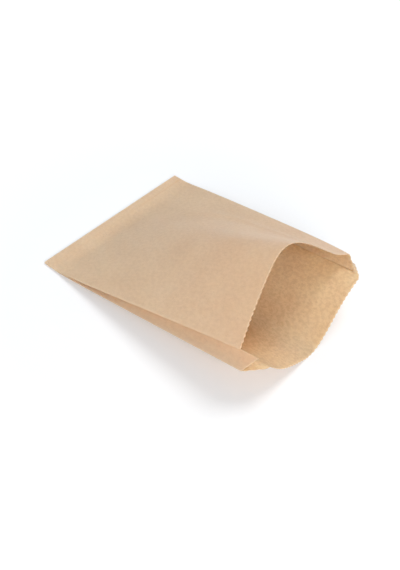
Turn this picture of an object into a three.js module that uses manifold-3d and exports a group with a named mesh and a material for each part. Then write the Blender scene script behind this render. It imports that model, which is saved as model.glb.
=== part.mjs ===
// A gusseted kraft paper bag that lies on its back with its mouth opened by hand.
// Millimetres, Z up. X runs across the bag, the closed end is at +Y and the mouth at -Y.
// One sheet is folded into a flat tube: a front panel, a back panel, and at each side a gusset,
// which is two narrow strips folded inwards. The tube's closed end is folded over and glued.
// Each straight line of paper from the closed end to the mouth keeps its length as the mouth opens,
// and each panel keeps its width, so the open bag is the flat sheet, bent and not stretched.

import * as THREE from 'three';
import Module from 'manifold-3d';
import { mergeVertices } from 'three/addons/utils/BufferGeometryUtils.js';

// The flat bag
const bagWidth = 180;          // across the closed end
const frontLength = 236;       // closed end to the front panel's mouth edge
const lipLength = 17.5;        // the back panel's mouth edge lies this far beyond the front's
const nearLipCorner = 11;      // the lip's sloping corners: how far in from the side fold each one runs
const farLipCorner = 20;
const gussetDepth = 15;        // from the side fold in to the gusset's middle fold
const gussetPoint = 9.5;       // the gusset's middle fold ends this far beyond the front's edge
const paperThickness = 0.3;
const layerGap = 0.3;          // air between two layers where the bag is pressed flat

// The serrated mouth edge
const toothPitch = 4.3;
const toothDepth = 1.0;
const toothBand = 6;           // the last run of paper, which the teeth are cut into

// The glued bottom
const bottomFold = 9;          // width of the folded-over strip
const flapThickness = 0.6;     // the strip turned under the back panel
const glueInset = 1;           // the layers start this far inside the closed end's rounded edge

// The bag is pressed flat as far as the glued bottom; this is the stretch over which it starts to open
const easeStretch = 42;

// The open mouth's folds: the near side is at -X and the far side at +X.
// An inset is measured from the flat bag's side, a height from the near bottom fold.
const nearTopFold = { inset: 15, height: 23.5 };
const nearMiddleFold = { inset: 22.3, height: 11 };
const nearBottomFold = { inset: 11.8, height: 0 };
const farTopFold = { inset: 16.5, height: 17 };
const farMiddleFold = { inset: 25, height: 6 };
const farBottomFold = { inset: 10.8, height: 1 };

// The back panel has a creased edge strip at each side, as wide as the gusset is deep.
// It rises from the bottom fold by this many degrees.
const nearStripTilt = 19;
const farStripTilt = 12;

// The shapes of the two bowed panels: how far along the chord, and the share of the full bow there
const frontBow = [[0.22, 0.6], [0.48, 1.0], [0.72, 0.63], [0.88, 0.17]];
const backBow = [[0.2, 0.17], [0.4, 0.67], [0.6, 1.0], [0.8, 0.63]];

const kraftColour = '#d3b087';
const frontSteps = 16;
const backSteps = 16;
const edgeSteps = 3;           // on each of the back panel's edge strips
const gussetSteps = 2;
const foldSteps = 4;

const halfWidth = bagWidth / 2;
const layerStep = paperThickness + layerGap;
const foldRadius = layerStep / 2;
const backHeight = flapThickness + paperThickness / 2;
const creaseX = halfWidth - gussetDepth;

// A point of a section: across, and up.
function point(across, up) {
  return new THREE.Vector2(across, up);
}

function polar(angle, length) {
  return point(Math.cos(angle) * length, Math.sin(angle) * length);
}

// How far open the bag is at a distance from its closed end: 0 is flat, 1 is the front's mouth edge.
function opening(distance) {
  const run = distance - bottomFold;
  if (run <= 0) return 0;
  const fullRun = frontLength - bottomFold - easeStretch / 2;
  const eased = run < easeStretch ? run * run / (2 * easeStretch) : run - easeStretch / 2;
  return eased / fullRun;
}

// A smooth curve that bows away from its chord until it is as long as the paper. A positive side is up.
function bowedCurve(start, end, bow, side, paperLength) {
  const chord = end.clone().sub(start);
  const away = point(0, side);
  const curveAt = (height) => {
    const middle = bow.map(([along, share]) =>
      start.clone().addScaledVector(chord, along).addScaledVector(away, share * height));
    return new THREE.SplineCurve([start, ...middle, end]);
  };
  let low = 0;
  let high = paperLength;
  while (high - low > 0.0001) {
    const height = (low + high) / 2;
    if (curveAt(height).getLength() < paperLength) low = height;
    else high = height;
  }
  return curveAt(low);
}

function straightRun(start, end, steps) {
  return new THREE.LineCurve(start, end).getSpacedPoints(steps);
}

// The back panel's run, from the far bottom fold over both creases to the near bottom fold.
function backRun(farFold, middle, nearFold) {
  const farStrip = straightRun(farFold, middle[0], edgeSteps);
  const nearStrip = straightRun(middle.at(-1), nearFold, edgeSteps);
  return [...farStrip.slice(0, -1), ...middle, ...nearStrip.slice(1)];
}

// The pressed-flat tube, as the runs of its strips in order round it: the front panel, the far gusset,
// the back panel and the near gusset. The two strips of each gusset lie between the panels.
function flatRuns() {
  const level = (layer) => backHeight + layer * layerStep;
  const run = (from, to, layer, steps) =>
    straightRun(point(from, level(layer)), point(to, level(layer)), steps);
  const back = backRun(
    point(halfWidth, level(0)), run(creaseX, -creaseX, 0, backSteps), point(-halfWidth, level(0)));
  return [
    run(-halfWidth, halfWidth, 3, frontSteps),
    run(halfWidth, creaseX, 2, gussetSteps),
    run(creaseX, halfWidth, 1, gussetSteps),
    back,
    run(-halfWidth, -creaseX, 1, gussetSteps),
    run(-creaseX, -halfWidth, 2, gussetSteps),
  ];
}

// The open mouth, as the same runs: the front panel arches up, and the back panel sags to the table.
function openRuns() {
  const near = (fold) => point(fold.inset - halfWidth, fold.height);
  const far = (fold) => point(halfWidth - fold.inset, fold.height);
  const [nearTop, nearMiddle, nearBottom] = [nearTopFold, nearMiddleFold, nearBottomFold].map(near);
  const [farTop, farMiddle, farBottom] = [farTopFold, farMiddleFold, farBottomFold].map(far);
  const nearRise = THREE.MathUtils.degToRad(nearStripTilt);
  const farRise = THREE.MathUtils.degToRad(180 - farStripTilt);
  const nearCrease = nearBottom.clone().add(polar(nearRise, gussetDepth));
  const farCrease = farBottom.clone().add(polar(farRise, gussetDepth));
  const front = bowedCurve(nearTop, farTop, frontBow, 1, bagWidth);
  const back = bowedCurve(farCrease, nearCrease, backBow, -1, 2 * creaseX);
  return lowered([
    front.getSpacedPoints(frontSteps),
    straightRun(farTop, farMiddle, gussetSteps),
    straightRun(farMiddle, farBottom, gussetSteps),
    backRun(farBottom, back.getSpacedPoints(backSteps), nearBottom),
    straightRun(nearBottom, nearMiddle, gussetSteps),
    straightRun(nearMiddle, nearTop, gussetSteps),
  ]);
}

// Moves the open section so that the lip's lowest line lies on the table.
function lowered(runs) {
  const fullyOpen = opening(frontLength + lipLength);
  const target = backHeight + (paperThickness / 2 - backHeight) / fullyOpen;
  const lowest = Math.min(...runs.flat().map((place) => place.y));
  const drop = point(0, target - lowest);
  return runs.map((run) => run.map((place) => place.clone().add(drop)));
}

// The rounded fold between two strips: an arc that starts on the first and ends on the second.
// Flat strips are a layer apart; open strips share their corner.
function foldArc(before, after) {
  const corner = before.at(-1);
  const joined = corner.distanceTo(after[0]) < foldRadius / 2;
  const into = corner.clone().sub(before.at(-2)).normalize();
  const out = after[1].clone().sub(after[0]).normalize();
  const across = joined ? out : after[0].clone().sub(corner);
  const side = Math.sign(into.cross(across));
  const sweep = joined ? Math.acos(into.dot(out)) : Math.PI;
  const pull = joined ? foldRadius * Math.tan(sweep / 2) : foldRadius;
  const start = corner.clone().addScaledVector(into, -pull);
  const centre = start.clone().add(polar(into.angle() + side * Math.PI / 2, foldRadius));
  const firstAngle = into.angle() - side * Math.PI / 2;
  const steps = [...Array(foldSteps + 1).keys()];
  return steps.map((step) =>
    centre.clone().add(polar(firstAngle + side * sweep * step / foldSteps, foldRadius)));
}

// All points of a section in order, with rounded folds. Each fold belongs to the gusset.
function sectionPoints(runs) {
  return runs.flatMap((run, index) => {
    const next = runs[(index + 1) % runs.length];
    return [...run.slice(1, -1), ...foldArc(run, next)];
  });
}

// The panel that each point of a section lies on, in the order of sectionPoints.
function sectionPanels(runs) {
  const names = ['front', 'gusset', 'gusset', 'back', 'gusset', 'gusset'];
  return runs.flatMap((run, index) => [
    ...Array(run.length - 2).fill(names[index]),
    ...Array(foldSteps + 1).fill('gusset'),
  ]);
}

// The distance that the paper reaches beyond the front panel's mouth edge.
function reach(panel, across) {
  const inward = halfWidth - Math.abs(across);
  const lipCorner = across > 0 ? farLipCorner : nearLipCorner;
  if (panel === 'gusset') return gussetPoint * Math.min(inward / gussetDepth, 1);
  if (panel === 'back') return lipLength * Math.min(inward / lipCorner, 1);
  return 0;
}

// The flat and the open section, point for point, with the paper's reach at the mouth.
function makeColumns() {
  const runs = flatRuns();
  const flat = sectionPoints(runs);
  const open = sectionPoints(openRuns());
  const panels = sectionPanels(runs);
  return flat.map((start, index) => ({
    start,
    end: open[index],
    reach: reach(panels[index], start.x),
  }));
}

// The distances from the closed end at which the bag has a cross-section, up to the toothed band.
function rowDistances() {
  const eased = [0, 0.25, 0.5, 0.75, 1].map((share) => bottomFold + share * easeStretch);
  const opened = frontLength - toothBand;
  const between = [1 / 3, 2 / 3].map((share) => eased.at(-1) + share * (opened - eased.at(-1)));
  return [glueInset, ...eased, ...between, opened];
}

// Where a column's paper is at each distance, and at the mouth. Its steps keep the paper's length.
function columnPath(column) {
  const distances = [...rowDistances(), frontLength + column.reach];
  const sideways = column.start.distanceTo(column.end);
  let y = 0;
  let last = 0;
  return distances.map((distance) => {
    const step = distance - last;
    const shift = sideways * (opening(distance) - opening(last));
    y -= Math.sqrt(step * step - shift * shift);
    last = distance;
    const place = column.start.clone().lerp(column.end, opening(distance));
    return new THREE.Vector3(place.x, y, place.y);
  });
}

// Half the paper's thickness to each side of a closed line of points that runs round the tube.
function faceLoop(line, side) {
  return line.map((place, index) => {
    const before = line.at(index - 1);
    const after = line[(index + 1) % line.length];
    const away = new THREE.Vector3(before.z - after.z, 0, after.x - before.x).normalize();
    return place.clone().addScaledVector(away, side * paperThickness / 2);
  });
}

// How far each point of the mouth lies along the cut, from the near top fold round the tube.
function cutDistances(columns) {
  let total = 0;
  return columns.map((column, index) => {
    if (index > 0) total += column.start.distanceTo(columns[index - 1].start);
    return total;
  });
}

// The mouth's points between each column and the next: one wherever the cut turns at a tooth.
// The number of teeth is whole, so the last meets the first.
function toothPlaces(columns) {
  const along = cutDistances(columns);
  const closing = columns[0].start.distanceTo(columns.at(-1).start);
  const around = along.at(-1) + closing;
  const halfTooth = around / (2 * Math.round(around / toothPitch));
  const place = (index, share, distance) => {
    const phase = (distance / halfTooth) % 2;
    return { index, share, cut: toothDepth * Math.abs(1 - phase) };
  };
  return columns.map((column, index) => {
    const from = along[index];
    const to = index + 1 < columns.length ? along[index + 1] : around;
    const places = [place(index, 0, from)];
    for (let turn = Math.floor(from / halfTooth) + 1; turn * halfTooth < to - 0.05; turn += 1) {
      const distance = turn * halfTooth;
      if (distance > from + 0.05) places.push(place(index, (distance - from) / (to - from), distance));
    }
    return places;
  });
}

// The toothed edge: points between the mouth's columns, cut back towards the last full row.
function toothedEdge(lastRow, mouth, places) {
  const between = (loop, index, share) =>
    loop[index].clone().lerp(loop[(index + 1) % loop.length], share);
  return places.flat().map(({ index, share, cut }) => {
    const tip = between(mouth, index, share);
    const back = between(lastRow, index, share).sub(tip).setLength(cut);
    return tip.add(back);
  });
}

// Joins two closed loops of the same count with triangles.
function bandFaces(first, second, count) {
  const faces = [];
  for (let i = 0; i < count; i += 1) {
    const j = (i + 1) % count;
    faces.push(first + i, second + i, second + j, first + i, second + j, first + j);
  }
  return faces;
}

// Joins a plain loop to the toothed edge, which has more points.
function toothFaces(plain, toothed, places) {
  const faces = [];
  const total = places.flat().length;
  let at = 0;
  places.forEach((group, i) => {
    const left = plain + i;
    const right = plain + (i + 1) % places.length;
    const middle = Math.ceil(group.length / 2);
    group.forEach((_, step) => {
      const here = toothed + at;
      const next = toothed + (at + 1) % total;
      faces.push(step < middle ? left : right, here, next);
      if (step + 1 === middle) faces.push(left, next, right);
      at += 1;
    });
  });
  return faces;
}

function flipped(faces) {
  const turned = [];
  for (let i = 0; i < faces.length; i += 3) turned.push(faces[i], faces[i + 2], faces[i + 1]);
  return turned;
}

// One face of the paper: its rows from the closed end to the mouth, the last one toothed.
function paperFace(columns, places, side) {
  const paths = columns.map(columnPath);
  const rows = paths[0].map((_, row) => faceLoop(paths.map((path) => path[row]), side));
  const mouth = rows.pop();
  return { rows, edge: toothedEdge(rows.at(-1), mouth, places) };
}

// The whole sheet as a closed body: an outer and an inner face, joined at the mouth and at the bottom.
function tubeGeometry() {
  const columns = makeColumns();
  const places = toothPlaces(columns);
  const faces = [];
  const vertices = [];
  const addFace = ({ rows, edge }, turn) => {
    const first = vertices.length;
    rows.forEach((row) => vertices.push(...row));
    const edgeStart = vertices.length;
    vertices.push(...edge);
    for (let row = 0; row + 1 < rows.length; row += 1) {
      const start = first + row * columns.length;
      faces.push(...turn(bandFaces(start, start + columns.length, columns.length)));
    }
    const lastRow = edgeStart - columns.length;
    faces.push(...turn(toothFaces(lastRow, edgeStart, places)));
    return { first, edgeStart, edgeCount: edge.length };
  };
  const outer = addFace(paperFace(columns, places, 1), (list) => list);
  const inner = addFace(paperFace(columns, places, -1), flipped);
  faces.push(...bandFaces(outer.edgeStart, inner.edgeStart, outer.edgeCount));
  faces.push(...bandFaces(inner.first, outer.first, columns.length));
  const geometry = new THREE.BufferGeometry();
  geometry.setAttribute('position', new THREE.Float32BufferAttribute(
    vertices.flatMap((place) => place.toArray()), 3));
  geometry.setIndex(faces);
  return geometry;
}

// The folded-over strip: all layers glued together, with a rounded edge at the closed end.
function bottomGeometry() {
  const top = backHeight + 3 * layerStep;
  const radius = top / 2;
  const profile = new THREE.Shape();
  profile.moveTo(bottomFold, 0);
  profile.lineTo(bottomFold, top);
  profile.lineTo(radius, top);
  profile.absarc(radius, radius, radius, Math.PI / 2, Math.PI * 3 / 2, false);
  profile.closePath();
  const width = bagWidth - paperThickness;
  const settings = { depth: width, bevelEnabled: false, curveSegments: foldSteps };
  const geometry = new THREE.ExtrudeGeometry(profile, settings);
  geometry.translate(0, 0, -width / 2);
  const towardsMouth = new THREE.Vector3(0, -1, 0);
  const up = new THREE.Vector3(0, 0, 1);
  const across = new THREE.Vector3(-1, 0, 0);
  return geometry.applyMatrix4(new THREE.Matrix4().makeBasis(towardsMouth, up, across));
}

function toSolid(wasm, geometry) {
  geometry.deleteAttribute('normal');
  geometry.deleteAttribute('uv');
  const merged = mergeVertices(geometry, 1e-5);
  return new wasm.Manifold(new wasm.Mesh({
    numProp: 3,
    vertProperties: new Float32Array(merged.attributes.position.array),
    triVerts: new Uint32Array(merged.index.array),
  }));
}

function toGeometry(solid) {
  const mesh = solid.getMesh();
  const geometry = new THREE.BufferGeometry();
  geometry.setAttribute('position', new THREE.Float32BufferAttribute(mesh.vertProperties, 3));
  geometry.setIndex([...mesh.triVerts]);
  return geometry;
}

// Centres the bag on its length; it already lies on the table and is centred on its width.
function centred(geometry) {
  geometry.computeBoundingBox();
  const { min, max } = geometry.boundingBox;
  geometry.translate(-(min.x + max.x) / 2, -(min.y + max.y) / 2, -min.z);
  geometry.computeVertexNormals();
  return geometry;
}

function makePaper() {
  return new THREE.MeshStandardMaterial({ color: kraftColour, roughness: 0.85, metalness: 0 });
}

const wasm = await Module();
wasm.setup();
const sheet = toSolid(wasm, tubeGeometry()).add(toSolid(wasm, bottomGeometry()));
const paperBag = new THREE.Mesh(centred(toGeometry(sheet)), makePaper());
paperBag.name = 'paper_bag';

const bag = new THREE.Group();
bag.add(paperBag);

export default bag;
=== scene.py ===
# %% [markdown]
# # A gusseted kraft paper bag
# This lesson makes a brown takeaway bag that lies on its back with its mouth opened by hand.
# The CAD model is the fixed frame. It says where the bag is and how big it is, and the paper
# made here takes its place. All of Blender's units are metres, while the bag's own sizes are
# written in millimetres, because that is how a bag maker would say them.

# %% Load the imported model
import math

import bmesh
import bpy
import numpy as np
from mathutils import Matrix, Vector, noise


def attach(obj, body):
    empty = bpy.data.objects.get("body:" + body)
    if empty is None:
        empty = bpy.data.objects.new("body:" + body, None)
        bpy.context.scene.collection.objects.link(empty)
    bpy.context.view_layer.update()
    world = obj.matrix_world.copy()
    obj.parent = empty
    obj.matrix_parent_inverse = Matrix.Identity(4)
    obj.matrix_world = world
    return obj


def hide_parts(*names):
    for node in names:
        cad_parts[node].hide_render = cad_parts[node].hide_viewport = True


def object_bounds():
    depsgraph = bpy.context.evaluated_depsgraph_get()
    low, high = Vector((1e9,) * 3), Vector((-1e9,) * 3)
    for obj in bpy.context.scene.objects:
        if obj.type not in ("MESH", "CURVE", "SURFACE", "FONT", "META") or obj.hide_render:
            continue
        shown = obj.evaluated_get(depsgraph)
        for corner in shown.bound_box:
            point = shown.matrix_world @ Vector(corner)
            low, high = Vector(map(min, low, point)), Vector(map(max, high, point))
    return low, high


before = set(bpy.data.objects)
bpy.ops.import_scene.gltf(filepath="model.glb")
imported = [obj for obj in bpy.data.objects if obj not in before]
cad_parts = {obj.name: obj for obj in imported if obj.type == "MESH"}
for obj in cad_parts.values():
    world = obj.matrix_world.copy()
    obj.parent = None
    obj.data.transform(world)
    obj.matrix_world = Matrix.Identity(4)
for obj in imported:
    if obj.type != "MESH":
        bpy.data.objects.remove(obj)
cad_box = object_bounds()
MM = 0.001
print("CAD box in mm:", [[round(c / MM, 1) for c in corner] for corner in cad_box])

# %% [markdown]
# ## The camera
# The bag is seen from above its near side, with the closed end away to the left. A camera needs
# a place, a direction and a lens. The easiest way to give the first two is a target on the table
# and the direction back from it to the camera. The lens comes from how large the bag is in the
# frame: a focal length in pixels of the picture, turned into millimetres on a 36 mm sensor.

# %% Place the camera
FRAME_HEIGHT = 570          # pixels, the long side of the picture
FOCAL_PIXELS = 660.0
CAMERA_AZIMUTH = -47.56     # degrees, 0 looks along +Y
CAMERA_ELEVATION = 47.52
CAMERA_DISTANCE = 0.6164
CAMERA_TARGET = Vector((-0.0100, -0.00295, 0.0))


def back_direction(azimuth, elevation):
    """The direction from a target back to whatever looks at it, from two angles in degrees."""
    a, e = math.radians(azimuth), math.radians(elevation)
    return Vector((math.sin(a) * math.cos(e), -math.cos(a) * math.cos(e), math.sin(e)))


camera_data = bpy.data.cameras.new("camera")
camera_data.sensor_width = 36.0
camera_data.lens = FOCAL_PIXELS / FRAME_HEIGHT * camera_data.sensor_width
camera = bpy.data.objects.new("camera", camera_data)
towards_camera = back_direction(CAMERA_AZIMUTH, CAMERA_ELEVATION)
camera.location = CAMERA_TARGET + towards_camera * CAMERA_DISTANCE
camera.rotation_euler = (-towards_camera).to_track_quat("-Z", "Y").to_euler()
bpy.context.collection.objects.link(camera)
bpy.context.scene.camera = camera
print("lens", round(camera_data.lens, 1), "mm, camera at", [round(c, 3) for c in camera.location])

# %% [markdown]
# ## The light
# The picture has a large soft light high behind the bag's far side, which throws the shadow, a
# second one before the bag's near side, which lights the front panel and looks into the mouth,
# and a white room round them. Area lamps give the first two, and the world's colour the third.
# A lamp's energy is worked out from the share of the light that it gives a table that faces up.
# The shares' sum is a little over 1, because most of the paper slopes away from one of the lamps,
# so a colour renders about as it is written.

# %% Set the lamps and the world
WORLD_SHARE = 0.45
ROOM_COLOUR = (0.90, 0.96, 1.02, 1.0)
LAMP_COLOUR = (1.0, 0.975, 0.95)


def soft_lamp(name, azimuth, elevation, distance, size, share):
    """A round area lamp that looks at the bag, with its share of the light on a level table."""
    data = bpy.data.lights.new(name, "AREA")
    data.shape = "DISK"
    data.size = size
    data.color = LAMP_COLOUR
    rise = math.sin(math.radians(elevation))
    data.energy = share * math.pi**2 * distance**2 / rise
    lamp = bpy.data.objects.new(name, data)
    towards_lamp = back_direction(azimuth, elevation)
    lamp.location = towards_lamp * distance
    lamp.rotation_euler = (-towards_lamp).to_track_quat("-Z", "Y").to_euler()
    bpy.context.collection.objects.link(lamp)
    print(name, round(data.energy, 1), "W")


soft_lamp("key behind the far side", azimuth=80.0, elevation=62.0, distance=4.0, size=1.9,
          share=0.34)
soft_lamp("fill before the mouth", azimuth=-32.0, elevation=34.0, distance=4.0, size=2.4,
          share=0.35)

world = bpy.data.worlds.new("pale room")
world.use_nodes = True
bpy.context.scene.world = world
bpy.context.scene.view_settings.view_transform = "Standard"
nodes, links = world.node_tree.nodes, world.node_tree.links
nodes.clear()
room_light = nodes.new("ShaderNodeBackground")
room_light.inputs["Color"].default_value = ROOM_COLOUR
room_light.inputs["Strength"].default_value = WORLD_SHARE
seen_white = nodes.new("ShaderNodeBackground")
seen_white.inputs["Color"].default_value = (1.0, 1.0, 1.0, 1.0)
choose = nodes.new("ShaderNodeMixShader")
path = nodes.new("ShaderNodeLightPath")
out = nodes.new("ShaderNodeOutputWorld")
links.new(path.outputs["Is Camera Ray"], choose.inputs["Fac"])
links.new(room_light.outputs[0], choose.inputs[1])
links.new(seen_white.outputs[0], choose.inputs[2])
links.new(choose.outputs[0], out.inputs["Surface"])
print("room", WORLD_SHARE)

# %% [markdown]
# ## The table
# The bag lies on seamless white paper. A plain large plane takes the bag's shadow. What is left
# to reach pure white comes from a little emission that only the camera sees, so that the table
# throws no more light on the bag than white paper would. It grows away from the bag, where the
# lamps fade, so that the table meets the white room without a line.

# %% Lay the table
TABLE_SIZE = 3.0
TABLE_COLOUR = (0.905, 0.92, 0.935, 1.0)
NEAR_LIFT, FAR_LIFT = 0.055, 0.45   # the camera's extra whiteness near the bag and far from it
NEAR_REACH, FAR_REACH = 0.18, 1.0   # where near ends and far begins, in metres

table_mesh = bpy.data.meshes.new("table")
bm = bmesh.new()
bmesh.ops.create_grid(bm, x_segments=1, y_segments=1, size=TABLE_SIZE)
bm.to_mesh(table_mesh)
bm.free()
table = bpy.data.objects.new("table", table_mesh)
bpy.context.collection.objects.link(table)

white = bpy.data.materials.new("white table")
white.use_nodes = True
nodes, links = white.node_tree.nodes, white.node_tree.links
nodes.clear()
matt = nodes.new("ShaderNodeBsdfDiffuse")
matt.inputs["Color"].default_value = TABLE_COLOUR
lift = nodes.new("ShaderNodeEmission")
coordinates = nodes.new("ShaderNodeTexCoord")
far_off = nodes.new("ShaderNodeVectorMath")
far_off.operation = "LENGTH"
grow = nodes.new("ShaderNodeMapRange")
for name, value in (("From Min", NEAR_REACH), ("From Max", FAR_REACH),
                    ("To Min", NEAR_LIFT), ("To Max", FAR_LIFT)):
    grow.inputs[name].default_value = value
links.new(coordinates.outputs["Object"], far_off.inputs[0])
links.new(far_off.outputs["Value"], grow.inputs["Value"])
camera_only = nodes.new("ShaderNodeMath")
camera_only.operation = "MULTIPLY"
links.new(grow.outputs["Result"], camera_only.inputs[1])
path = nodes.new("ShaderNodeLightPath")
both = nodes.new("ShaderNodeAddShader")
out = nodes.new("ShaderNodeOutputMaterial")
links.new(path.outputs["Is Camera Ray"], camera_only.inputs[0])
links.new(camera_only.outputs[0], lift.inputs["Strength"])
links.new(matt.outputs[0], both.inputs[0])
links.new(lift.outputs[0], both.inputs[1])
links.new(both.outputs[0], out.inputs["Surface"])
table_mesh.materials.append(white)
print("table", TABLE_SIZE * 2, "m wide")

# %% [markdown]
# ## The flat bag
# A paper bag starts as one web of paper that is folded lengthwise into a tube: a front panel, a
# back panel, and at each side a gusset of two narrow strips folded inwards. A toothed knife cuts
# the tube to length, and the closed end is folded under the back and glued.
# It could be modelled panel by panel, but the real thing is one sheet, and one sheet keeps the
# paper's pattern whole across the folds. So the sizes below are those of the flat bag.

# %% Write down the flat bag's sizes, in millimetres
BAG_WIDTH = 180.0
HALF_WIDTH = BAG_WIDTH / 2
FRONT_LENGTH = 238.0
LIP_LENGTH = 16.0           # the back panel reaches this far beyond the front
NEAR_LIP_CORNER = 13.0      # the lip's sloping corners
FAR_LIP_CORNER = 17.5
GUSSET_DEPTH = 15.0
GUSSET_POINT = 9.5          # the gusset's middle fold reaches this far beyond the front
CREASE_X = HALF_WIDTH - GUSSET_DEPTH
PAPER = 0.14                # thickness
LAYER_STEP = 0.3            # from one pressed layer to the next
FOLD_RADIUS = LAYER_STEP / 2
FLAP_WIDTH = 9.0            # the closed end's glued flap
FLAP_STACK = 4 * LAYER_STEP
EDGE_RADIUS = FLAP_STACK    # the outermost layer's bend at the closed end
EASE_STRETCH = 22.0         # over this length the flat bag starts to open

FRONT, BACK = 0, 3          # the panels' numbers in the order round the tube
HALF_TOOTH = GUSSET_DEPTH / 7               # seven half teeth of the knife to each gusset strip
TOOTH_DEPTH = {FRONT: 2.0, BACK: 0.8}       # the knife bit deeper into the front panel
GUSSET_TOOTH_DEPTH = 0.8
CLOSED_END = cad_box[1].y / MM
LOOP = 2 * BAG_WIDTH + 4 * GUSSET_DEPTH
print("the tube is", LOOP, "mm round, with", round(LOOP / HALF_TOOTH / 2), "teeth")

# %% [markdown]
# ## How the mouth stands open
# Paper bends easily one way but hardly stretches. So a section across the open mouth keeps each
# panel's width: the front panel arches up, the back panel sags to the table, and the gussets stay
# straight. The folds are where fingers left them. A bowed panel is a smooth curve through a few
# knots, and the height of its bow is found by halving until the curve is as long as the paper.
# A natural spline is the right curve, because it bends as a springy strip does.

# %% Curves that keep the paper's length


def natural_curve(knots, samples=240):
    """A springy curve through the knots, as many points."""
    knots = np.array(knots, float)
    gaps = np.linalg.norm(np.diff(knots, axis=0), axis=1)
    count = len(knots)
    system, right = np.eye(count), np.zeros((count, 2))
    for i in range(1, count - 1):
        before, after = gaps[i - 1], gaps[i]
        system[i, i - 1:i + 2] = before, 2 * (before + after), after
        slopes = (knots[i + 1] - knots[i]) / after - (knots[i] - knots[i - 1]) / before
        right[i] = 6 * slopes
    bend = np.linalg.solve(system, right)
    points = []
    for i in range(count - 1):
        w = np.linspace(0, 1, samples, endpoint=False)[:, None]
        curved = (w**3 - w) * bend[i + 1] + ((1 - w)**3 - (1 - w)) * bend[i]
        points.append((1 - w) * knots[i] + w * knots[i + 1] + gaps[i]**2 / 6 * curved)
    return np.concatenate([*points, knots[-1:]])


def length_of(points):
    """The length of the line through the points."""
    return np.linalg.norm(np.diff(points, axis=0), axis=1).sum()


def evenly(points, steps):
    """The same curve as steps + 1 evenly spaced points."""
    along = np.concatenate([[0], np.cumsum(np.linalg.norm(np.diff(points, axis=0), axis=1))])
    places = np.linspace(0, along[-1], steps + 1)
    return np.stack([np.interp(places, along, points[:, k]) for k in (0, 1)], axis=1)


def straight(start, end, steps):
    """A straight run of steps + 1 points."""
    return evenly(np.array([start, end], float), steps)


HALVINGS = 24


def bowed(start, end, bow, side, paper_length):
    """A curve from start to end, bowed up (side 1) or down (-1) until it is paper_length long."""
    start, end = np.array(start, float), np.array(end, float)

    def curve(height):
        middle = [start + (end - start) * t + np.array([0, side * height * s]) for t, s in bow]
        return natural_curve([start, *middle, end])

    low, high = 0.0, paper_length
    for _ in range(HALVINGS):
        height = (low + high) / 2
        low, high = (height, high) if length_of(curve(height)) < paper_length else (low, height)
    return curve(low)


# %% [markdown]
# ## The pressed and the open section
# The tube is drawn twice, as six runs of points: front, far gusset, back and near gusset. Pressed
# flat, the runs lie on four levels. At the mouth, each fold stands where it was left, given by
# how far in from the flat bag's side it is and how high. Both drawings have the same number of
# points, so that each point of the paper can later be moved from the one to the other.

# %% The runs of the flat and of the open section
PANEL_STEPS = round(BAG_WIDTH / HALF_TOOTH)
STRIP_STEPS = 7
MIDDLE_STEPS = PANEL_STEPS - 2 * STRIP_STEPS

NEAR_TOP, NEAR_MIDDLE, NEAR_BOTTOM = (15.0, 21.4), (22.3, 11.0), (11.8, 0.0)   # inset, height
FAR_TOP, FAR_MIDDLE, FAR_BOTTOM = (18.1, 15.0), (25.0, 5.5), (10.8, 1.0)
NEAR_STRIP_TILT, FAR_STRIP_TILT = 7.0, 13.5
FRONT_BOW = [(0.12, 0.375), (0.26, 0.705), (0.481, 1.0), (0.72, 0.621), (0.88, 0.204)]
BACK_BOW = [(0.18, 0.21), (0.34, 0.58), (0.54, 1.0), (0.7, 0.8), (0.85, 0.5)]


def level(layer):
    """The height of a pressed layer's middle: 0 is the back panel and 3 the front."""
    return (layer + 0.5) * LAYER_STEP


def flat_runs():
    """Front, far gusset, back and near gusset of the pressed tube, in order round it."""
    w, c = HALF_WIDTH, CREASE_X
    return [
        straight((-w, level(3)), (w, level(3)), PANEL_STEPS),
        straight((w, level(2)), (c, level(2)), STRIP_STEPS),
        straight((c, level(1)), (w, level(1)), STRIP_STEPS),
        straight((w, level(0)), (-w, level(0)), PANEL_STEPS),
        straight((-w, level(1)), (-c, level(1)), STRIP_STEPS),
        straight((-c, level(2)), (-w, level(2)), STRIP_STEPS),
    ]


def along_angle(start, degrees, length):
    """The point that lies a length away from start, at an angle."""
    a = math.radians(degrees)
    return np.array(start, float) + length * np.array([math.cos(a), math.sin(a)])


def open_runs():
    """The same runs at the open mouth."""
    near = [(inset - HALF_WIDTH, height) for inset, height in (NEAR_TOP, NEAR_MIDDLE, NEAR_BOTTOM)]
    far = [(HALF_WIDTH - inset, height) for inset, height in (FAR_TOP, FAR_MIDDLE, FAR_BOTTOM)]
    near_crease = along_angle(near[2], NEAR_STRIP_TILT, GUSSET_DEPTH)
    far_crease = along_angle(far[2], 180 - FAR_STRIP_TILT, GUSSET_DEPTH)
    front = evenly(bowed(near[0], far[0], FRONT_BOW, 1, BAG_WIDTH), PANEL_STEPS)
    middle = evenly(bowed(far_crease, near_crease, BACK_BOW, -1, 2 * CREASE_X), MIDDLE_STEPS)
    back = np.concatenate([
        straight(far[2], far_crease, STRIP_STEPS)[:-1],
        middle,
        straight(near_crease, near[2], STRIP_STEPS)[1:],
    ])
    return [
        front,
        straight(far[0], far[1], STRIP_STEPS),
        straight(far[1], far[2], STRIP_STEPS),
        back,
        straight(near[2], near[1], STRIP_STEPS),
        straight(near[1], near[0], STRIP_STEPS),
    ]


print("open mouth:", [round(length_of(run), 1) for run in open_runs()], "mm of paper in each run")

# %% [markdown]
# ## Rounded folds
# Even a sharp fold in paper has a small radius. Each fold gets a short arc that starts on one
# strip and ends on the next. Where the bag is pressed flat the arc is a half turn from one layer
# to the next. Where it is open the same arc closes the corner between two strips.

# %% Put the arcs between the runs
FOLD_STEPS = 4
LONGEST_PULL = 1.2          # how far from its corner a fold's arc may start


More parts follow.
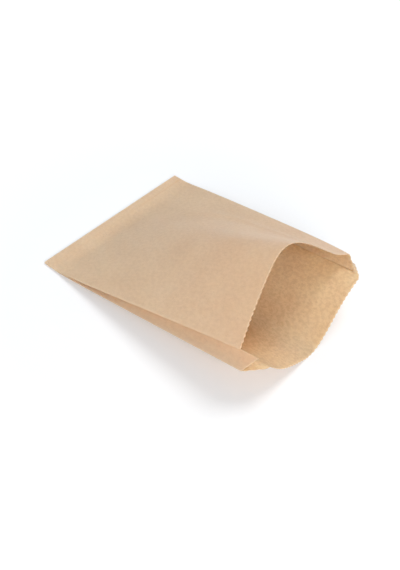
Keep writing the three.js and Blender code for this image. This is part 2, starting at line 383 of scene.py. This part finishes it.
def fold_arc(before, after):
    """The fold between two runs, as points on an arc."""
    corner = before[-1]
    into = corner - before[-2]
    into /= np.linalg.norm(into)
    out_of = after[1] - after[0]
    out_of /= np.linalg.norm(out_of)
    gap = after[0] - corner
    joined = np.linalg.norm(gap) < FOLD_RADIUS / 2
    across = out_of if joined else gap
    side = np.sign(into[0] * across[1] - into[1] * across[0])
    sweep = math.acos(np.clip(into @ out_of, -1, 1)) if joined else math.pi
    radius = min(FOLD_RADIUS, LONGEST_PULL / math.tan(sweep / 2)) if joined else FOLD_RADIUS
    pull = radius * math.tan(sweep / 2) if joined else radius
    heading = math.atan2(into[1], into[0])
    start = corner - into * pull
    centre = start + radius * along_angle((0, 0), math.degrees(heading) + side * 90, 1)
    first = heading - side * math.pi / 2
    turns = first + side * sweep * np.arange(FOLD_STEPS + 1) / FOLD_STEPS
    return centre + radius * np.stack([np.cos(turns), np.sin(turns)], axis=1)


def section(runs):
    """All points round the tube: each run without its ends, and then the fold after it."""
    points = []
    for index, run in enumerate(runs):
        points.extend([run[1:-1], fold_arc(run, runs[(index + 1) % len(runs)])])
    return np.concatenate(points)


def sheet_places(runs):
    """For each point: how far it lies round the sheet, and the number of its panel."""
    starts = np.cumsum([0] + [GUSSET_DEPTH * (len(run) - 1) / STRIP_STEPS for run in runs])
    around, panel = [], []
    for index, run in enumerate(runs):
        inner = starts[index] + np.arange(1, len(run) - 1) * HALF_TOOTH
        arc = starts[index + 1] + FOLD_RADIUS * np.linspace(-1, 1, FOLD_STEPS + 1)
        around.extend([inner, arc])
        panel.extend([np.full(len(inner), index), np.full(len(arc), -1)])
    return np.concatenate(around), np.concatenate(panel)


flat_section = section(flat_runs())
open_section = section(open_runs())
around, panel = sheet_places(flat_runs())
seam = int(np.argmin(np.abs(around - (1.5 * BAG_WIDTH + 2 * GUSSET_DEPTH))))
order = np.roll(np.arange(len(around)), -seam)
order = np.append(order, order[0])
flat_section, open_section, panel = flat_section[order], open_section[order], panel[order]
around = (around[order] - around[seam]) % LOOP
around[-1] = LOOP
print(len(order), "columns of points round the sheet; the seam is at x =", flat_section[0][0])

# %% [markdown]
# ## From the closed end to the mouth
# Every straight line of paper that runs the length of the bag stays straight and keeps its
# length, or the paper would tear. So between the pressed end and the open mouth a point moves
# along one straight path, and how far along it has come is the opening: 0 where the bag is flat
# and 1 at the front's mouth edge. What a line of paper moves sideways it loses in reach.
# The opening starts gently, because paper can't turn a corner across its own width.

# %% How far open, how far it reaches, and where the teeth are


def smoothstep(low, high, value):
    """0 up to low, 1 from high on, and a soft rise between them."""
    t = np.clip((np.asarray(value, float) - low) / (high - low), 0, 1)
    return t * t * (3 - 2 * t)


def opening(distance):
    """How far open the bag is: 0 where it's pressed flat, 1 at the front's mouth edge."""
    run = np.maximum(np.asarray(distance, float) - FLAP_WIDTH, 0)
    full = FRONT_LENGTH - FLAP_WIDTH - EASE_STRETCH / 2
    return np.where(run < EASE_STRETCH, run**2 / (2 * EASE_STRETCH), run - EASE_STRETCH / 2) / full


def reach(which, x):
    """How far a column's paper runs beyond the front panel's mouth edge."""
    inward = HALF_WIDTH - abs(x)
    corner = FAR_LIP_CORNER if x > 0 else NEAR_LIP_CORNER
    if which == FRONT:
        return 0.0
    if which == BACK:
        return LIP_LENGTH * min(inward / corner, 1)
    return GUSSET_POINT * min(inward / GUSSET_DEPTH, 1)


def tooth_cut(which, place):
    """The depth of the knife's cut at a place round the sheet."""
    return TOOTH_DEPTH.get(which, GUSSET_TOOTH_DEPTH) * abs(1 - (place / HALF_TOOTH) % 2)


SHARED_LENGTH = 200.0       # up to here all columns have the same rows
BODY_START = 13.5           # before it the rows lie closer, for the flap's pressed edge
FLAP_EDGE_STEP = 0.6
BODY_COUNT, MOUTH_COUNT = 106, 24
FLAP_EDGE_ROWS = np.arange(EDGE_RADIUS, BODY_START - FLAP_EDGE_STEP, FLAP_EDGE_STEP)
BODY_ROWS = np.linspace(BODY_START, SHARED_LENGTH, BODY_COUNT)
MOUTH_SHARES = np.arange(1, MOUTH_COUNT + 1) / MOUTH_COUNT
MOUTH_REACH = FRONT_LENGTH - SHARED_LENGTH
print(len(FLAP_EDGE_ROWS) + len(BODY_ROWS) + len(MOUTH_SHARES), "rows from the fold to the mouth")


def row_distances(which, x, place):
    """How far each of a column's rows lies from the closed end, along the paper."""
    beyond = MOUTH_SHARES * (MOUTH_REACH + reach(which, x))
    beyond[-1] -= tooth_cut(which, place)
    return np.concatenate([FLAP_EDGE_ROWS, BODY_ROWS, SHARED_LENGTH + beyond])


# %% [markdown]
# ## Over the flap
# The flap that is glued under the closed end makes the bag thicker there, so the layers above it
# are lifted and come down to the table behind it. The open section is moved up or down as a
# whole, until its lowest paper rests on the table, as the bag's own weight would do.
# The far fold gets a small bow of its own, because a real fold of thin paper is never straight.

# %% The lift over the flap, and the height of the open section
REST_DROP = 0.12            # how much of the flap's height the paper loses right behind it
IMPRINT_FROM, IMPRINT_TO = -0.5, 4.0        # where it does, from the flap's edge
ON_TABLE_AT = 70.0                          # and how far from the closed end the rest is lost


def lift(distance):
    """The flap under the closed end holds the layers up, and leaves its edge as an imprint."""
    sharp = smoothstep(FLAP_WIDTH + IMPRINT_FROM, FLAP_WIDTH + IMPRINT_TO, distance)
    slow = smoothstep(FLAP_WIDTH + IMPRINT_TO, ON_TABLE_AT, distance)
    return FLAP_STACK * (1 - REST_DROP * sharp - (1 - REST_DROP) * slow)


lip_opening = float(opening(FRONT_LENGTH + LIP_LENGTH))
lowest = open_section[:, 1].min()
on_table = (PAPER / 2 - level(0) * (1 - lip_opening)) / lip_opening
open_section[:, 1] += on_table - lowest
print("the mouth is", round(open_section[:, 1].max(), 1), "mm high")

BULGE_PLACES = (230.0, 300.0, 315.0)    # round the sheet: the front's far part, fold and crease
BULGE_OUT, BULGE_UP = 1.3, 1.8          # the far fold isn't quite straight but bows outwards


def body_path(column):
    """A column's points from the closed end's bend to the mouth: x, y, z and paper distance."""
    start, end = flat_section[column], open_section[column]
    distance = row_distances(int(panel[column]), start[0], around[column])
    share = opening(distance)
    sideways = np.linalg.norm(end - start)
    step = np.diff(distance, prepend=0)
    shift = sideways * np.diff(share, prepend=0)
    y = CLOSED_END - np.cumsum(np.sqrt(step**2 - shift**2))
    x = start[0] + (end[0] - start[0]) * share
    z = (start[1] + lift(distance)) * (1 - share) + end[1] * share
    bulge = np.interp(around[column], BULGE_PLACES, (0, 1, 0)) * (1 - (2 * share - 1)**4)
    bulge *= share < 1
    return np.stack([x + BULGE_OUT * bulge, y, z + BULGE_UP * bulge, distance], axis=1)


# %% [markdown]
# ## The glued flap
# At the closed end all four layers are bent together under the back panel. Each layer goes round
# the same axis, so the front panel takes the widest turn and ends up lowest, against the table.

# %% The bend and the flap
BEND_ROWS = 8
FLAP_ROWS = 4


def flap_path(column):
    """The same column, from the flap's cut edge to the start of the bend."""
    x, height = flat_section[column]
    axis = CLOSED_END - EDGE_RADIUS
    turns = np.linspace(math.pi, 0, BEND_ROWS + 1)[:-1]
    bend_y = axis + height * np.sin(turns)
    bend_z = FLAP_STACK + height * np.cos(turns)
    bend_d = EDGE_RADIUS - height * turns
    straight_length = FLAP_WIDTH - EDGE_RADIUS
    back_off = np.linspace(straight_length, 0, FLAP_ROWS + 1)[:-1]
    y = np.concatenate([axis - back_off, bend_y])
    z = np.concatenate([np.full(FLAP_ROWS, FLAP_STACK - height), bend_z])
    d = np.concatenate([bend_d[0] - back_off, bend_d])
    return np.stack([np.full(len(y), x), y, z, d], axis=1)


grid = np.stack([np.concatenate([flap_path(c), body_path(c)]) for c in range(len(order))])
columns, rows = grid.shape[:2]
print(columns, "by", rows, "points; the bag is", round(np.ptp(grid[..., 1]), 1), "mm long")

# %% [markdown]
# ## Soft waves
# Paper that has been handled is never quite smooth. Broad, shallow waves run along the panels.
# They are made as real shape and not only as a bump in the finish, because they bend the long
# highlights. Blender's own noise is the same in every run, so no seed is needed. The waves fade
# towards each fold, where the doubled paper is stiff.

# %% Work out the waves


def wave(x, y, across, along, turn, offset):
    """Smooth noise from -1 to 1, with its own sizes across and along, turned by an angle."""
    c, s = math.cos(turn), math.sin(turn)
    u, v = (x * c + y * s) / across, (-x * s + y * c) / along
    return noise.noise(Vector((u, v, offset)))


distance = grid[..., 3]
flat_x = np.repeat(flat_section[:, 0:1], rows, axis=1)
waves = np.zeros((columns, rows))
WAVE_STRENGTH = {FRONT: 1.0, BACK: 0.5}
WAVES = [                               # height, across, along, turn, and a place in the noise
    (1.1, 55, 120, 0.22, 3.7),
    (0.5, 26, 60, -0.3, 8.1),
    (0.12, 11, 19, 0.5, 1.3),
]
SIDE_FADE = 16                          # the waves are full this far from a panel's side
FULL_FROM = 55                          # and this far from the closed end
MOUTH_CALM = 0.75                       # how much of them is lost towards the mouth's edge
CALM_FROM, CALM_TO = 205, 236
for column in range(columns):
    strength = WAVE_STRENGTH.get(int(panel[column]), 0.0)
    if strength == 0:
        continue
    side_fade = float(smoothstep(0, SIDE_FADE, HALF_WIDTH - abs(flat_x[column, 0])))
    for row in range(rows):
        d, x = distance[column, row], flat_x[column, row]
        if d < FLAP_WIDTH:
            continue
        calm = 1 - MOUTH_CALM * smoothstep(CALM_FROM, CALM_TO, d)
        along_fade = float(smoothstep(FLAP_WIDTH, FULL_FROM, d) * calm)
        total = sum(height * wave(x, d, across, along, turn, place + panel[column])
                    for height, across, along, turn, place in WAVES)
        waves[column, row] = strength * side_fade * along_fade * total

print("handled paper: waves from", round(waves.min(), 2), "to", round(waves.max(), 2), "mm")

# %% [markdown]
# ## The ridge and the pressed marks
# In the front panel's far half a soft ridge starts behind the closed end and runs to the crest of
# the mouth, where the panel bends over. The edge of the glued flap is pressed through as a faint
# line, most of all towards the far corner. Between the gussets there are two layers fewer, so the
# front panel sinks a little there, until the bag opens. All three are added to the waves.

# %% Add the ridge, the pressed line and the sunk middle
RIDGE = np.array([(30, 45), (46, 72), (58, 104), (63, 136), (62, 170), (58, 236)])  # x, distance
RIDGE_WIDTHS = [7.0, 3.6]               # at its start and at the mouth
RIDGE_HEIGHT = 0.8
RIDGE_FULL_FROM, RIDGE_FADES_FROM, RIDGE_FADE = 110, 200, 0.6
LINE_OFFSET, LINE_WIDTH, LINE_DEPTH = 0.6, 0.9, 0.15
LINE_AT_NEAR_SIDE = 0.25                # the share of the line that is left at the near side
SUNK_DEPTH = 1.2 * LAYER_STEP
SUNK_EDGE, SUNK_RUN = 4, 14             # how gently it starts, from the side and from the flap
SUNK_FADE = (20, 75)                    # where it ends as the bag opens

on_front = (panel == FRONT)[:, None]
ridge_start, ridge_end = RIDGE[0, 1], RIDGE[-1, 1]
ridge_x = np.interp(distance, RIDGE[:, 1], RIDGE[:, 0])
ridge_width = np.interp(distance, [ridge_start, ridge_end], RIDGE_WIDTHS)
ridge = np.exp(-((flat_x - ridge_x) / ridge_width)**2)
ridge *= smoothstep(ridge_start, RIDGE_FULL_FROM, distance)
ridge *= 1 - RIDGE_FADE * smoothstep(RIDGE_FADES_FROM, ridge_end, distance)
waves += on_front * ridge * RIDGE_HEIGHT
# this groove also carries painted shade into the finish
groove = np.exp(-((distance - FLAP_WIDTH - LINE_OFFSET) / LINE_WIDTH)**2)
groove *= LINE_AT_NEAR_SIDE + (1 - LINE_AT_NEAR_SIDE) * smoothstep(0, HALF_WIDTH, flat_x)
waves -= on_front * groove * LINE_DEPTH
sunk = smoothstep(0, SUNK_EDGE, CREASE_X - np.abs(flat_x)) * (1 - smoothstep(*SUNK_FADE, distance))
sunk *= smoothstep(FLAP_WIDTH, FLAP_WIDTH + SUNK_RUN, distance)
waves -= on_front * sunk * SUNK_DEPTH
print("waves from", round(waves.min(), 2), "to", round(waves.max(), 2), "mm")

# %% [markdown]
# ## Fold the sheet
# The sheet starts as a flat grid, one quad to each step round the tube and along it. Its columns
# are moved to where the folded bag has them. The grid's first and last column meet at the seam
# in the middle of the back, where the real web is glued, and are welded there. A UV map keeps
# each point's place on the flat sheet, for the paper's fibres to follow. Two numbers are kept at
# each point for the finish: how worn the paper is along its folds, with painted shade along the
# pressed line as a negative part, and how much painted shade darkens the inside there.

# %% Make the sheet and fold it
bm = bmesh.new()
uv_map = bm.loops.layers.uv.new("flat_sheet")
wear_and_line_shade_layer = bm.verts.layers.float.new("fold_wear_and_line_shade")
inside_shade_layer = bm.verts.layers.float.new("painted_inside_shade")
bmesh.ops.create_grid(bm, x_segments=columns - 1, y_segments=rows - 1, size=0.5)
where = {}
for vertex in bm.verts:
    column = round((vertex.co.x + 0.5) * (columns - 1))
    row = round((0.5 - vertex.co.y) * (rows - 1))
    where[vertex] = (column, row)
for face in bm.faces:
    for loop in face.loops:
        column, row = where[loop.vert]
        loop[uv_map].uv = (around[column] / LOOP, distance[column, row] / LOOP)
FOLD_PLACES = [HALF_WIDTH + strips * GUSSET_DEPTH for strips in (0, 1, 2)]
FOLD_PLACES += [LOOP - place for place in FOLD_PLACES]
WORN_WIDTH = 1.6
LINE_SHADE_PAINT = 0.6            # painted shade: how much deeper the pressed line's groove is painted
SHADE_FULL, SHADE_FROM = 190, 250     # painted shade on the inside, full up to 190 mm from the closed end and none from 250 mm
SHADE_IN_MIDDLE, SHADE_SLOPE = 0.5, 0.9   # the painted shade is deepest at the near side, away from the light
for vertex in bm.verts:
    column, row = where[vertex]
    vertex.co = Vector(grid[column, row, :3]) * MM
    to_fold = min(abs(around[column] - place) for place in FOLD_PLACES)
    to_edge = abs(distance[column, row] - EDGE_RADIUS)
    worn = max(0.0, 1 - min(to_fold, to_edge) / WORN_WIDTH)
    # painted shade: the inside gets darker deep in the bag and towards its near side
    deep_inside = float(smoothstep(SHADE_FROM, SHADE_FULL, distance[column, row]))
    near_share = SHADE_IN_MIDDLE - SHADE_SLOPE * flat_x[column, row] / HALF_WIDTH
    vertex[inside_shade_layer] = deep_inside * min(max(near_share, 0.0), 1.0)
    # painted shade along the pressed line is kept as negative wear
    vertex[wear_and_line_shade_layer] = worn - LINE_SHADE_PAINT * groove[column, row] * float(panel[column] == FRONT)
bm.normal_update()
print("sheet:", len(bm.verts), "points,", len(bm.faces), "quads")

# %% [markdown]
# ## Press in the waves
# The waves go in after the folding, because they are measured at right angles to the paper, and
# a point knows that direction only once its neighbours are in place. Then the seam is welded:
# its two edges have the same places, so merging what lies closer than a fiftieth of a
# millimetre closes it and nothing else.

# %% Press in the waves, weld the seam
for vertex in bm.verts:
    column, row = where[vertex]
    vertex.co += vertex.normal * waves[column, row] * MM
WELD = 0.02
bmesh.ops.remove_doubles(bm, verts=bm.verts, dist=WELD * MM)
bm.normal_update()
top = max(bm.faces, key=lambda face: face.calc_center_median().z)
print("the crest's face looks up:", round(top.normal.z, 2))
for face in bm.faces:
    face.smooth = True

bag_mesh = bpy.data.meshes.new("folded_kraft_sheet")
bm.to_mesh(bag_mesh)
bm.free()
bag = bpy.data.objects.new("folded_kraft_sheet", bag_mesh)
bpy.context.collection.objects.link(bag)

# %% [markdown]
# ## The paper's thickness
# A Solidify modifier gives the sheet its second face. Its material offset paints the inside and
# the cut edge with finishes of their own.

# %% Give the sheet its thickness
walls = bag.modifiers.new("paper thickness", "SOLIDIFY")
walls.thickness = PAPER * MM
walls.offset = 0.0
walls.material_offset = 1
walls.material_offset_rim = 2
print("paper", PAPER, "mm thick")

# %% [markdown]
# ## Kraft paper
# Unbleached kraft is a warm brown with a cloudy look: short fibres lie in clumps, mostly along
# the web, with a few dark slivers. The outside is smoothed and has a faint gloss; the inside is
# rougher. The pattern comes from five noises on the flat sheet's UV map, so it bends with the
# paper, and the worn folds and the painted shade come from the two numbers kept at the points.
# Only the colour, roughness and bump are driven; what is the same all over is set on the shader
# itself.

# %% Helpers for the finish


def add_node(tree, kind, **settings):
    """A new node with its settings."""
    node = tree.nodes.new(kind)
    for name, value in settings.items():
        setattr(node, name, value)
    return node


def sheet_noise(tree, uv, scale, detail, roughness, turn=0.0):
    """Noise on the flat sheet. The scale is in waves per centimetre, across and along."""
    mapping = add_node(tree, "ShaderNodeMapping")
    cm = LOOP / 10
    mapping.inputs["Scale"].default_value = (scale[0] * cm, scale[1] * cm, 1)
    mapping.inputs["Rotation"].default_value = (0, 0, turn)
    texture = add_node(tree, "ShaderNodeTexNoise", noise_dimensions="2D")
    texture.inputs["Scale"].default_value = 1.0
    texture.inputs["Detail"].default_value = detail
    texture.inputs["Roughness"].default_value = roughness
    tree.links.new(uv.outputs["UV"], mapping.inputs["Vector"])
    tree.links.new(mapping.outputs["Vector"], texture.inputs["Vector"])
    return texture.outputs["Fac"]


def ramp(tree, value, low, high, start=0.0, end=1.0):
    """A value taken from low..high to start..end, and held at both ends."""
    node = add_node(tree, "ShaderNodeMapRange")
    for name, number in (("From Min", low), ("From Max", high), ("To Min", start), ("To Max", end)):
        node.inputs[name].default_value = number
    tree.links.new(value, node.inputs["Value"])
    return node.outputs["Result"]


def math_node(tree, operation, first, second):
    """A sum with two values, each a number or another node's output."""
    node = add_node(tree, "ShaderNodeMath", operation=operation)
    for socket, value in zip(node.inputs, (first, second)):
        if isinstance(value, (int, float)):
            socket.default_value = value
        else:
            tree.links.new(value, socket)
    return node.outputs["Value"]


def mix_colour(tree, factor, first, second, blend="MIX"):
    """Two colours mixed, each written down or another node's output."""
    node = add_node(tree, "ShaderNodeMix", data_type="RGBA", blend_type=blend)
    tree.links.new(factor, node.inputs[0])
    for socket, value in ((node.inputs[6], first), (node.inputs[7], second)):
        if isinstance(value, tuple):
            socket.default_value = (*value, 1.0)
        else:
            tree.links.new(value, socket)
    return node.outputs[2]


# %% [markdown]
# ## The outside, the inside and the cut edge
# One function makes all three finishes, because they are the same paper. Thin paper lets light
# through, so most of the light goes into it and comes out nearby, also on the other side: that
# is what keeps the inside of the bag warm and never black. A shader's subsurface does it, with a
# reach of half a millimetre. The inside is rougher, and painted shade makes it browner where it
# stays in the dark, deep in the bag and towards its near side.

# %% The kraft finish
GLOW = 0.70                 # the share of the light that goes into the paper
GLOW_COLOUR = (1.0, 0.82, 0.66)     # red light goes furthest
GLOW_REACH = 0.0005
PAINTED_SHADE_BROWN = (0.87, 0.68, 0.47)     # painted shade: the brown that the inside is multiplied by where it stays in the dark
# Each noise: waves per centimetre across and along, detail, roughness and turn.
CLOUDS = ((0.35, 0.25), 2.0, 0.5)
CLUMPS = ((3.2, 2.3), 4.0, 0.68, 0.15)
FIBRES = ((24.0, 5.0), 3.0, 0.6, 0.08)
CROSSED = ((6.0, 20.0), 2.0, 0.6, -0.2)
SLIVERS = ((9.0, 2.2), 5.0, 0.75, 0.35)
CLOUD_SHARE, CLUMP_SHARE, FIBRE_SHARE, SLIVER_SHARE = 0.3, 0.45, 0.25, 0.6
MOST = (0.3, 0.7)                   # most of a noise lies between these
HIGHEST = (0.64, 0.76)              # and only its peaks make slivers
# folds are worn paler; the pressed line gets painted shade
WORN_PALER, LINE_SHADE_STRENGTH = 0.3, 0.8
ROUGHNESS_SPREAD = 0.06


def kraft(name, pale, deep, sliver, roughness, gloss, bump_height, contrast, painted_shade_amount=0.0):
    """A kraft finish from its palest and deepest brown and the colour of its slivers."""
    material = bpy.data.materials.new(name)
    material.use_nodes = True
    tree = material.node_tree
    shader = tree.nodes["Principled BSDF"]
    uv = add_node(tree, "ShaderNodeUVMap", uv_map="flat_sheet")
    clouds = sheet_noise(tree, uv, *CLOUDS)
    clumps = sheet_noise(tree, uv, *CLUMPS)
    fibres = sheet_noise(tree, uv, *FIBRES)
    crossed = sheet_noise(tree, uv, *CROSSED)
    slivers = sheet_noise(tree, uv, *SLIVERS)
    low, high = 0.5 - 0.2 / contrast, 0.5 + 0.2 / contrast
    tone = math_node(tree, "ADD", ramp(tree, clouds, *MOST, 0.0, CLOUD_SHARE),
                     ramp(tree, clumps, low, high, 0.0, CLUMP_SHARE))
    tone = math_node(tree, "ADD", tone, ramp(tree, fibres, *MOST, 0.0, FIBRE_SHARE))
    base = mix_colour(tree, tone, pale, deep)
    # painted shade: the colour is multiplied by a deeper brown where the inside stays in the dark
    dark = add_node(tree, "ShaderNodeAttribute", attribute_name="painted_inside_shade")
    base = mix_colour(tree, ramp(tree, dark.outputs["Fac"], 0.0, 1.0, 0.0, painted_shade_amount), base,
                      PAINTED_SHADE_BROWN, "MULTIPLY")
    marks = ramp(tree, slivers, *HIGHEST, 0.0, SLIVER_SHARE)
    base = mix_colour(tree, marks, base, sliver)
    wear_and_line_shade = add_node(tree, "ShaderNodeAttribute", attribute_name="fold_wear_and_line_shade")
    worn = tuple(1.1 * c for c in pale)
    # painted shade: the pressed line's groove is painted a deeper brown
    pressed = (deep[0], 0.85 * deep[1], 0.66 * deep[2])
    base = mix_colour(tree, ramp(tree, wear_and_line_shade.outputs["Fac"], 0.0, 1.0, 0.0, WORN_PALER), base, worn)
    base = mix_colour(tree, ramp(tree, wear_and_line_shade.outputs["Fac"], 0.0, -1.0, 0.0, LINE_SHADE_STRENGTH), base,
                      pressed)
    tree.links.new(base, shader.inputs["Base Color"])
    smooth, rough = roughness - ROUGHNESS_SPREAD, roughness + ROUGHNESS_SPREAD
    tree.links.new(ramp(tree, clumps, 0.2, 0.8, smooth, rough), shader.inputs["Roughness"])
    shader.inputs["Specular IOR Level"].default_value = gloss
    shader.inputs["Subsurface Weight"].default_value = GLOW
    shader.inputs["Subsurface Radius"].default_value = GLOW_COLOUR
    shader.inputs["Subsurface Scale"].default_value = GLOW_REACH
    height = math_node(tree, "ADD", math_node(tree, "MULTIPLY", fibres, 0.5), crossed)
    height = math_node(tree, "ADD", height, math_node(tree, "MULTIPLY", clumps, 1.5))
    bump = add_node(tree, "ShaderNodeBump")
    bump.inputs["Strength"].default_value = 1.0
    bump.inputs["Distance"].default_value = bump_height
    tree.links.new(height, bump.inputs["Height"])
    tree.links.new(bump.outputs["Normal"], shader.inputs["Normal"])
    return material


outside = kraft(
    "kraft outside", pale=(0.85, 0.582, 0.39), deep=(0.725, 0.472, 0.30), sliver=(0.40, 0.25, 0.14),
    roughness=0.45, gloss=0.55, bump_height=0.0001, contrast=1.3)
inside = kraft(
    "kraft inside", pale=(0.90, 0.655, 0.435), deep=(0.70, 0.475, 0.29), sliver=(0.36, 0.21, 0.11),
    roughness=0.60, gloss=0.45, bump_height=0.0005, contrast=2.4, painted_shade_amount=1.0)
cut_edge = kraft(
    "kraft cut edge", pale=(0.64, 0.43, 0.28), deep=(0.56, 0.37, 0.23), sliver=(0.4, 0.26, 0.15),
    roughness=0.85, gloss=0.2, bump_height=0.00004, contrast=1.0)
for material in (outside, inside, cut_edge):
    bag_mesh.materials.append(material)
print("finishes:", [m.name for m in bag_mesh.materials])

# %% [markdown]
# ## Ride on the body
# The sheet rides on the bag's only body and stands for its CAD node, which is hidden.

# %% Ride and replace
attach(bag, "root")
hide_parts("paper_bag")
bpy.context.view_layer.update()
